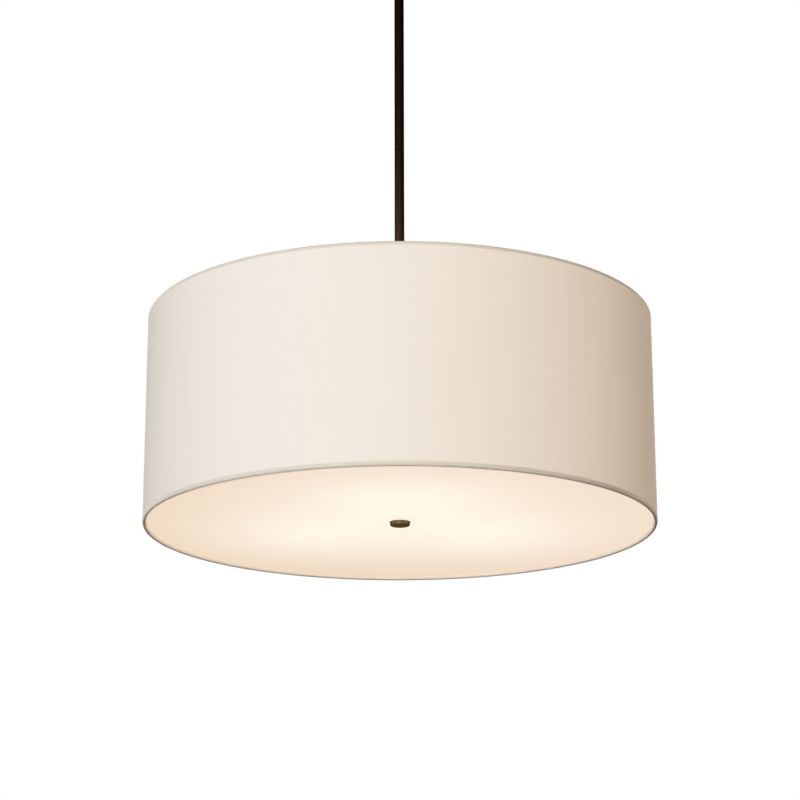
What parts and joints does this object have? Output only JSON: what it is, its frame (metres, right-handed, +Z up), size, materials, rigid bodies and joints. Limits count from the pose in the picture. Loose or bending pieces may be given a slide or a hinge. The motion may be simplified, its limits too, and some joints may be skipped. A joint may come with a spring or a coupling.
{
  "type": "drum chandelier",
  "caption": "Pendant lamp with a wide fabric drum shade on a rigid stem, frosted disc diffuser with centre finial, lamp cluster inside and a ceiling canopy with a hang-straight swivel.",
  "frame": {"origin": "centre of the crossbar's top face, on the stem's axis, in the plane of the ceiling", "axes": "+Z up along the stem; the first lamp points along -Y, which is the picture's front; the canopy's studs lie along X"},
  "size_m": [0.6096, 0.6096, 0.762],
  "materials": {
    "dark_bronze": "oil-rubbed dark bronze, satin",
    "plated_steel": "zinc plated",
    "green_screw": "green plated",
    "brass": "turned",
    "nylon": "natural nylon",
    "lead_insulation": "smooth",
    "connector_plastic": "moulded",
    "cream_fabric": "fine plain weave, matte",
    "white_styrene": "satin",
    "white_cast_metal": "white enamel",
    "phenolic": "moulded",
    "lamp_cap": "bright",
    "lamp_glass": "soft white",
    "frosted_acrylic": "frosted, translucent",
    "washer_rubber": "clear"
  },
  "bodies": {
    "ceiling_mount": {"crossbar": "plated_steel", "ground_screw": "green_screw", "canopy_stud_1": "plated_steel", "canopy_stud_2": "plated_steel", "stud_nut_1": "brass", "stud_nut_2": "brass", "canopy": "dark_bronze", "canopy_knob_1": "dark_bronze", "canopy_knob_2": "dark_bronze"},
    "swivel": {"swivel_seat": "nylon"},
    "pendant": {"swivel_ball": "dark_bronze", "ball_nut": "brass", "stem": "dark_bronze", "supply_lead_1": "lead_insulation", "supply_lead_2": "lead_insulation", "wire_connector_1": "connector_plastic", "wire_connector_2": "connector_plastic", "stem_collar": "dark_bronze", "shade_cover": "cream_fabric", "shade_liner": "white_styrene", "shade_top_wire": "plated_steel", "shade_bottom_wire": "plated_steel", "shade_spider": "plated_steel", "cluster_body": "white_cast_metal", "cluster_lid": "white_cast_metal", "lid_screw_1": "plated_steel", "lid_screw_2": "plated_steel", "lid_screw_3": "plated_steel", "cluster_nut": "brass", "socket_nipple_1": "plated_steel", "socket_nipple_2": "plated_steel", "socket_nipple_3": "plated_steel", "nipple_nut_1": "brass", "nipple_nut_2": "brass", "nipple_nut_3": "brass", "socket_1": "phenolic", "socket_2": "phenolic", "socket_3": "phenolic", "screw_shell_1": "brass", "screw_shell_2": "brass", "screw_shell_3": "brass", "socket_contact_1": "brass", "socket_contact_2": "brass", "socket_contact_3": "brass", "centre_rod": "plated_steel", "rod_nut_upper": "brass", "rod_nut_lower": "brass", "rod_coupler": "plated_steel"},
    "diffuser": {"diffuser": "frosted_acrylic", "upper_washer": "washer_rubber", "lower_washer": "washer_rubber"},
    "finial": {"finial": "dark_bronze"},
    "lamp_1": {"bulb_cap_1": "lamp_cap", "bulb_glass_1": "lamp_glass"},
    "lamp_2": {"bulb_cap_2": "lamp_cap", "bulb_glass_2": "lamp_glass"},
    "lamp_3": {"bulb_cap_3": "lamp_cap", "bulb_glass_3": "lamp_glass"}
  },
  "joints": [
    {"name": "swivel_turn", "type": "hinge", "parent": "ceiling_mount", "child": "swivel", "pos_m": [0, 0, -0.01324], "axis": [0, 0, 1], "continuous": true},
    {"name": "swivel_tilt", "type": "hinge", "parent": "swivel", "child": "pendant", "pos_m": [0, 0, -0.01324], "axis": [1, 0, 0], "range_deg": [-25, 25]},
    {"name": "diffuser_drop", "type": "slide", "parent": "pendant", "child": "diffuser", "axis": [0, 0, -1], "range_m": [0, 0.008]},
    {"name": "finial_turn", "type": "hinge", "parent": "diffuser", "child": "finial", "pos_m": [0, 0, -0.753], "axis": [0, 0, -1], "range_deg": [0, 3600]},
    {"name": "lamp_1_turn", "type": "hinge", "parent": "pendant", "child": "lamp_1", "pos_m": [0, -0.021, -0.5571], "axis": [0, -0.7071, -0.7071], "range_deg": [0, 900]},
    {"name": "lamp_2_turn", "type": "hinge", "parent": "pendant", "child": "lamp_2", "pos_m": [0.01819, 0.0105, -0.5571], "axis": [0.6124, 0.3536, -0.7071], "range_deg": [0, 900]},
    {"name": "lamp_3_turn", "type": "hinge", "parent": "pendant", "child": "lamp_3", "pos_m": [-0.01819, 0.0105, -0.5571], "axis": [-0.6124, 0.3536, -0.7071], "range_deg": [0, 900]}
  ],
  "couplings": [
    {"joint": "finial_turn", "follows": "diffuser_drop", "rad_per_m": 7853.9}
  ]
}
